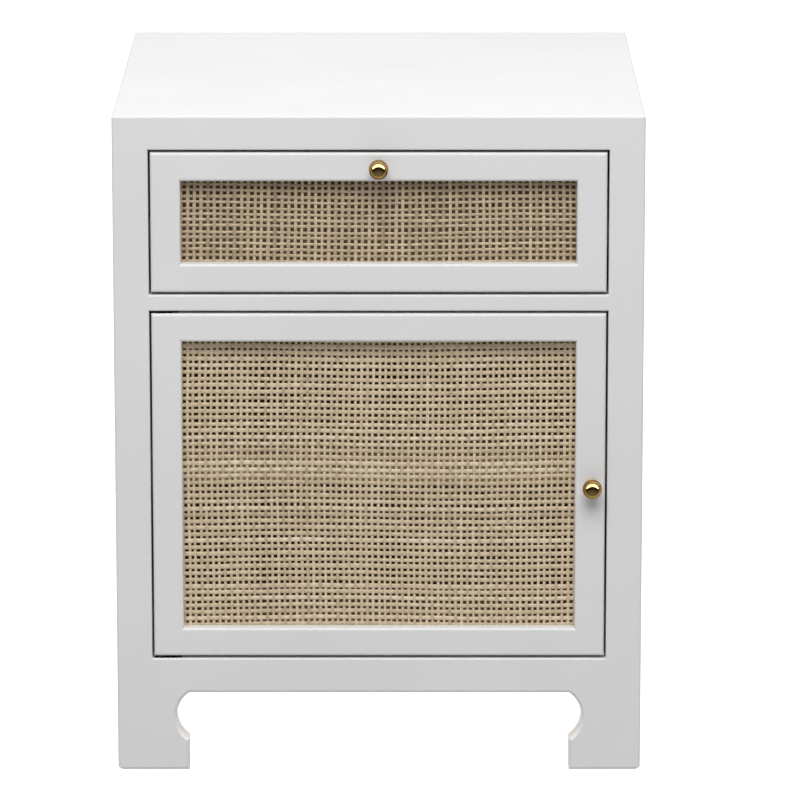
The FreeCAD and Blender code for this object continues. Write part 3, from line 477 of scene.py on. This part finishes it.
def strands(draw, kind, lanes, crossings, ends, middle, first_side):
    """Strands laid in lanes, each swinging over and under the strands that cross it.

    Along a strand the middle line keeps to its lane plus a slow sine and a quicker one. Its depth is a cosine
    about the web's middle plane that crests at each crossing, over and under in turn, and the other way in
    the next lane. The first lane starts on the side given, 1 for the back and -1 for the front. The section
    is a flattened oval carried square to the line.
    Returns points as (across, depth, along), a map of each strand's length and girth, and tints with their
    painted shade.
    """
    pitch = crossings[1] - crossings[0]
    step = pitch / STEPS_PER_CROSSING
    steps_before = math.ceil((crossings[0] - ends[0]) / step)
    steps_after = math.ceil((ends[1] - crossings[0]) / step)
    along = np.clip(crossings[0] + step * np.arange(-steps_before, steps_after + 1), *ends)

    count = len(lanes)
    shift = draw.normal(0.0, LANE_JITTER, (count, 1))
    phase = draw.uniform(0.0, FULL_TURN, (count, 3))
    # The set's tint carries painted shade; the spread about it is each strand's own colour
    tone = kind.tint + draw.normal(0.0, TINT_SPREAD, (count, 1))
    fullness = 1.0 + draw.normal(0.0, WIDTH_SPREAD, (count, 1))

    lane = np.arange(count)[:, None]
    swing = math.pi * (along - crossings[0]) / pitch + math.pi * lane
    half_thickness = STRAND_THICKNESS / 2
    depth = middle + first_side * half_thickness * np.cos(swing)
    slope = -first_side * half_thickness * math.pi / pitch * np.sin(swing)

    turn = FULL_TURN * along / WANDER_LENGTH
    ripple = RIPPLE_SHARE * np.sin(RIPPLE_RATE * turn + phase[:, 1:2])
    across = lanes[:, None] + shift + WANDER * (np.sin(turn + phase[:, :1]) + ripple)
    half_width = kind.width / 2 * fullness * (1.0 + WIDTH_DRIFT * np.sin(WIDTH_RATE * turn + phase[:, 2:]))
    tint = tone + TINT_DRIFT * np.sin(TINT_RATE * turn + phase[:, 1:2])

    angle, wide, thick = oval_section()
    rise = thick * half_thickness
    lean = np.sqrt(1.0 + slope ** 2)[..., None]
    points = np.stack(np.broadcast_arrays(
        across[..., None] + half_width[..., None] * wide,
        depth[..., None] + rise / lean,
        along[None, :, None] - rise * slope[..., None] / lean), axis=-1)
    grid = points.shape[:3]
    length = np.broadcast_to(along[None, :, None] + lane[..., None], grid)
    girth = np.broadcast_to(angle / FULL_TURN, grid)
    return points, np.stack([length, girth], axis=-1), np.broadcast_to(tint[..., None], grid)


def bowed(points, low, high, phase):
    """Points of a web moved as a hand-stretched sheet lies.

    They move across by a slow sine of the height and up by a slow sine of the place across. Each sine is
    slanted a little by the other place and fades out towards the web's own edges.
    """
    x, z = points[..., 0], points[..., 2]
    turn = FULL_TURN / BOW_LENGTH
    hold_x = np.clip(np.minimum(x - low.x, high.x - x) / BOW_MARGIN, 0.0, 1.0)
    hold_z = np.clip(np.minimum(z - low.z, high.z - z) / BOW_MARGIN, 0.0, 1.0)
    moved = points.copy()
    moved[..., 0] += BOW * hold_x * np.sin(turn * (z + BOW_SLANT * x) + phase[0])
    moved[..., 2] += BOW * hold_z * np.sin(turn * (x + BOW_SLANT * z) + phase[1])
    return moved


def strand_piece(name, points, strand_map, tints_and_shades, mirrored, body, node):
    """One set of strands as a piece with its own map and tints, painted shade among them, its faces turned
    back if it is mirrored.
    """
    loops, sizes = tube_faces(*tints_and_shades.shape)
    if mirrored:
        loops = loops[::-1]
        sizes = sizes[::-1]
    made = piece(name, points.reshape(-1, 3), loops, sizes, FINISHES["cane"], body, "cane", node)
    uv = made.data.uv_layers.new(name="strand")
    uv.data.foreach_set("uv", strand_map.reshape(-1, 2)[loops].astype(np.float32).ravel())
    tint = made.data.attributes.new("tint", "FLOAT", "POINT")
    tint.data.foreach_set("value", tints_and_shades.astype(np.float32).ravel())


def woven_web(body, seed, upright, level):
    """Cane web in place of a front's flat strands: uprights and levels in opposite step, bowed as one."""
    node = body + "_cane"
    low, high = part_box(node)
    middle = (low.y + high.y) / 2
    draw = np.random.default_rng(seed)
    columns = lanes_between(low.x + WEB_SELVAGE, high.x - WEB_SELVAGE, upright.pitch)
    rows = lanes_between(low.z + WEB_SELVAGE, high.z - WEB_SELVAGE, level.pitch)
    uprights = strands(draw, upright, columns, rows, (low.z, high.z), middle, 1)
    levels = strands(draw, level, rows, columns, (low.x, high.x), middle, -1)
    phase = draw.uniform(0.0, FULL_TURN, 2)
    for name, woven, lying in (("uprights", uprights, False), ("levels", levels, True)):
        points, strand_map, tints_and_shades = woven
        # Level strands run along X, so their across and along swap, which mirrors them
        placed = bowed(points[..., ::-1] if lying else points, low, high, phase)
        strand_piece(body + "_cane_" + name, placed, strand_map, tints_and_shades, lying, body, node)


# Turned knobs

def knob_profile(length):
    """Half outline of a knob as (radius, distance from the front): eased foot, hollow neck and ball arc."""
    centre = length - KNOB_BALL_RADIUS
    neck_angle = math.pi - math.asin(KNOB_NECK_RADIUS / KNOB_BALL_RADIUS)
    ease = np.linspace(0.0, math.pi / 2, EASING_POINTS)
    rim = KNOB_FOOT_RADIUS - KNOB_FOOT_EASING
    foot = np.stack([rim + KNOB_FOOT_EASING * np.cos(ease),
                     KNOB_FOOT_HEIGHT - KNOB_FOOT_EASING + KNOB_FOOT_EASING * np.sin(ease)], axis=-1)
    neck_end = centre + KNOB_BALL_RADIUS * math.cos(neck_angle)
    sweep = np.linspace(0.0, math.pi / 2, HOLLOW_POINTS)
    hollow = np.stack([rim - (rim - KNOB_NECK_RADIUS) * np.sin(sweep),
                       neck_end - (neck_end - KNOB_FOOT_HEIGHT) * np.cos(sweep)], axis=-1)
    polar = np.linspace(neck_angle, 0.0, BALL_POINTS)
    ball = np.stack([KNOB_BALL_RADIUS * np.sin(polar), centre + KNOB_BALL_RADIUS * np.cos(polar)], axis=-1)
    return np.concatenate([[[KNOB_FOOT_RADIUS, 0.0]], foot, hollow[1:], ball[1:-1]])


def turned_knob(body):
    """Knob in place of the plain turned solid: its half outline turned about an axis square to the front.

    A point at (radius, distance) and turn t is at radius * cos t across and radius * sin t up from the axis,
    and the distance out from the front. The seat and the tip close on one point each.
    """
    node = body + "_knob"
    low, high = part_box(node)
    middle_x = (low.x + high.x) / 2
    middle_z = (low.z + high.z) / 2
    outline = knob_profile(high.y - low.y)
    radius, out = outline[:, :1], outline[:, 1:]
    turn = FULL_TURN * np.arange(KNOB_TURNS) / KNOB_TURNS
    rings = np.stack(np.broadcast_arrays(
        middle_x + radius * np.cos(turn), high.y - out, middle_z + radius * np.sin(turn)), axis=-1)
    ends = [(middle_x, high.y, middle_z), (middle_x, low.y, middle_z)]
    points = np.concatenate([rings.reshape(-1, 3), ends])

    quads = ring_quads(len(outline), KNOB_TURNS)
    corner = np.arange(KNOB_TURNS)
    after = (corner + 1) % KNOB_TURNS
    last = (len(outline) - 1) * KNOB_TURNS
    seat = np.stack([np.full(KNOB_TURNS, len(points) - 2), after, corner], axis=-1)
    tip = np.stack([np.full(KNOB_TURNS, len(points) - 1), last + corner, last + after], axis=-1)
    loops = np.concatenate([quads.ravel(), seat.ravel(), tip.ravel()])
    sizes = np.concatenate([np.full(len(quads), 4), np.full(len(seat) + len(tip), 3)])
    piece(body + "_brass_knob", points, loops, sizes, FINISHES["polished_brass"], body, "brass", node)


# Stage

def aim(made, place, target):
    """Puts an object at a place, its -Z axis towards a target."""
    made.location = place
    made.rotation_euler = (Vector(target) - Vector(place)).to_track_quat("-Z", "Y").to_euler()


def room_tones(tree, height, top, tones):
    """Grey ramp over heights from straight down to a top."""
    span = {"Value": height, "From Min": STRAIGHT_DOWN, "From Max": top}
    level = add(tree, "ShaderNodeMapRange", span).outputs["Result"]
    return ramp(tree, level, [(place, grey(tone)) for place, tone in tones])


def room_light():
    """Room by direction: a soft fill, a bright arch in front that polished pieces show, and a pale backdrop.

    A direction's height in the polish is its z plus its x squared times a share that grows with x squared.
    """
    world = bpy.data.worlds.new("studio")
    bpy.context.scene.world = world
    world.use_nodes = True
    tree = world.node_tree
    way = add(tree, "ShaderNodeTexCoord").outputs["Generated"]
    axis = add(tree, "ShaderNodeSeparateXYZ", {"Vector": way}).outputs

    behind = {"Value": axis["Y"], "From Max": BACK_FADE, "To Max": BACK_FILL}
    back_fill = add(tree, "ShaderNodeMapRange", behind).outputs["Result"]
    fill = reckon(tree, "ADD", room_tones(tree, axis["Z"], STRAIGHT_UP, ROOM_FILL), back_fill)

    aside = reckon(tree, "MULTIPLY", axis["X"], axis["X"])
    share = reckon(tree, "ADD", reckon(tree, "MULTIPLY", aside, WALL_BEND), WALL_LIFT)
    lifted = reckon(tree, "ADD", axis["Z"], reckon(tree, "MULTIPLY", aside, share))
    polish = room_tones(tree, lifted, POLISH_TOP, ROOM_IN_POLISH)

    ray = add(tree, "ShaderNodeLightPath").outputs
    unscattered = reckon(tree, "LESS_THAN", ray["Diffuse Depth"], HALF_A_BOUNCE)
    mirrored = reckon(tree, "MULTIPLY", ray["Is Glossy Ray"], unscattered)
    in_front = reckon(tree, "LESS_THAN", axis["Y"], POLISH_FROM)
    lit = either(tree, "RGBA", reckon(tree, "MULTIPLY", mirrored, in_front), fill, polish)
    seen = either(tree, "RGBA", ray["Is Camera Ray"], lit, (*BACKDROP, 1.0))
    feed(tree, tree.nodes["Background"], {"Color": seen, "Strength": 1.0})


def studio_floor():
    """White floor that throws no light, reflection or shade on the table."""
    mesh = bpy.data.meshes.new("floor")
    near, far = -FLOOR_REACH, FLOOR_REACH
    mesh.from_pydata([(near, near, 0), (far, near, 0), (far, far, 0), (near, far, 0)], [], [(0, 1, 2, 3)])
    mesh.materials.append(new_finish("floor", white_floor))
    floor = new_object("floor", mesh)
    floor.visible_diffuse = False
    floor.visible_glossy = False
    floor.visible_shadow = False


def soft_box():
    """Soft box light aimed at the table, seen by neither the camera nor polished pieces."""
    lamp = bpy.data.lights.new("soft_box", "AREA")
    lamp.shape = "RECTANGLE"
    lamp.size, lamp.size_y = SOFT_BOX_SIZE
    lamp.energy = SOFT_BOX_POWER
    made = new_object("soft_box", lamp)
    made.visible_camera = False
    made.visible_glossy = False
    aim(made, SOFT_BOX_PLACE, SOFT_BOX_TARGET)


def camera():
    """Long lens in front of and above the table, looking down at it square to its front."""
    made = new_object("camera", bpy.data.cameras.new("camera"))
    made.data.lens = CAMERA_LENS
    x, y, z = CAMERA_TARGET
    out = CAMERA_DISTANCE * math.cos(CAMERA_ELEVATION)
    up = CAMERA_DISTANCE * math.sin(CAMERA_ELEVATION)
    aim(made, (x, y - out, z + up), CAMERA_TARGET)
    bpy.context.scene.camera = made


# Dressing the frame

# Each finish's function with its choices
RECIPES = {
    "white_lacquer": (lacquer_coat,),
    "lacquered_board": (coated_board, lacquer_coat, "z"),
    "primed_board": (coated_board, primer_coat, "z"),
    "bare_wood_x": (oiled_wood, "x"),
    "bare_wood_y": (oiled_wood, "y"),
    "bare_wood_z": (oiled_wood, "z"),
    "drawer_end": (drawer_end,),
    "cane": (cane,),
    "polished_brass": (polished_brass,),
    "zinc_steel": (zinc_steel,),
    "blackened_steel": (blackened_steel,),
    "moulded_plastic": (moulded_plastic,),
    "dark_magnet": (dark_magnet,),
}
FINISHES = {name: new_finish(name, *recipe) for name, recipe in RECIPES.items()}

# Nodes that aren't plain white lacquer
NODES_BY_FINISH = {
    "lacquered_board": ("left_side_panel", "right_side_panel"),
    "primed_board": ("back_panel",),
    "bare_wood_x": ("shelf", "bottom_panel", "divider_panel", "drawer_cane_beads", "door_cane_beads"),
    "bare_wood_y": ("drawer_left_side", "drawer_right_side", "drawer_bottom",
                    "left_slide_batten", "right_slide_batten"),
    "bare_wood_z": ("dowels",),
    "drawer_end": ("drawer_box_front", "drawer_box_back"),
    "cane": ("drawer_cane", "door_cane"),
    "polished_brass": ("drawer_knob", "door_knob"),
    "zinc_steel": ("left_slide_outer", "right_slide_outer", "left_slide_inner", "right_slide_inner",
                   "left_ball_cage", "right_ball_cage", "shelf_pins", "strike_plate", "back_panel_screws",
                   "case_fasteners", "drawer_fasteners", "door_fasteners"),
    "blackened_steel": ("hinge_frame_leaves", "hinge_door_leaves", "hinge_washers"),
    "moulded_plastic": ("catch_body",),
    "dark_magnet": ("catch_magnet",),
}

node_finish = dict.fromkeys(frame["nodes"], "white_lacquer")
for finish_name, nodes in NODES_BY_FINISH.items():
    node_finish.update(dict.fromkeys(nodes, finish_name))
for node, finish_name in node_finish.items():
    frame["nodes"][node].material_slots[0].material = FINISHES[finish_name]

woven_web("door", DOOR_SEED, DOOR_UPRIGHTS, DOOR_LEVELS)
woven_web("drawer", DRAWER_SEED, DRAWER_UPRIGHTS, DRAWER_LEVELS)
for front in ("door", "drawer"):
    turned_knob(front)

room_light()
studio_floor()
soft_box()
camera()
bpy.context.scene.view_settings.view_transform = "Standard"
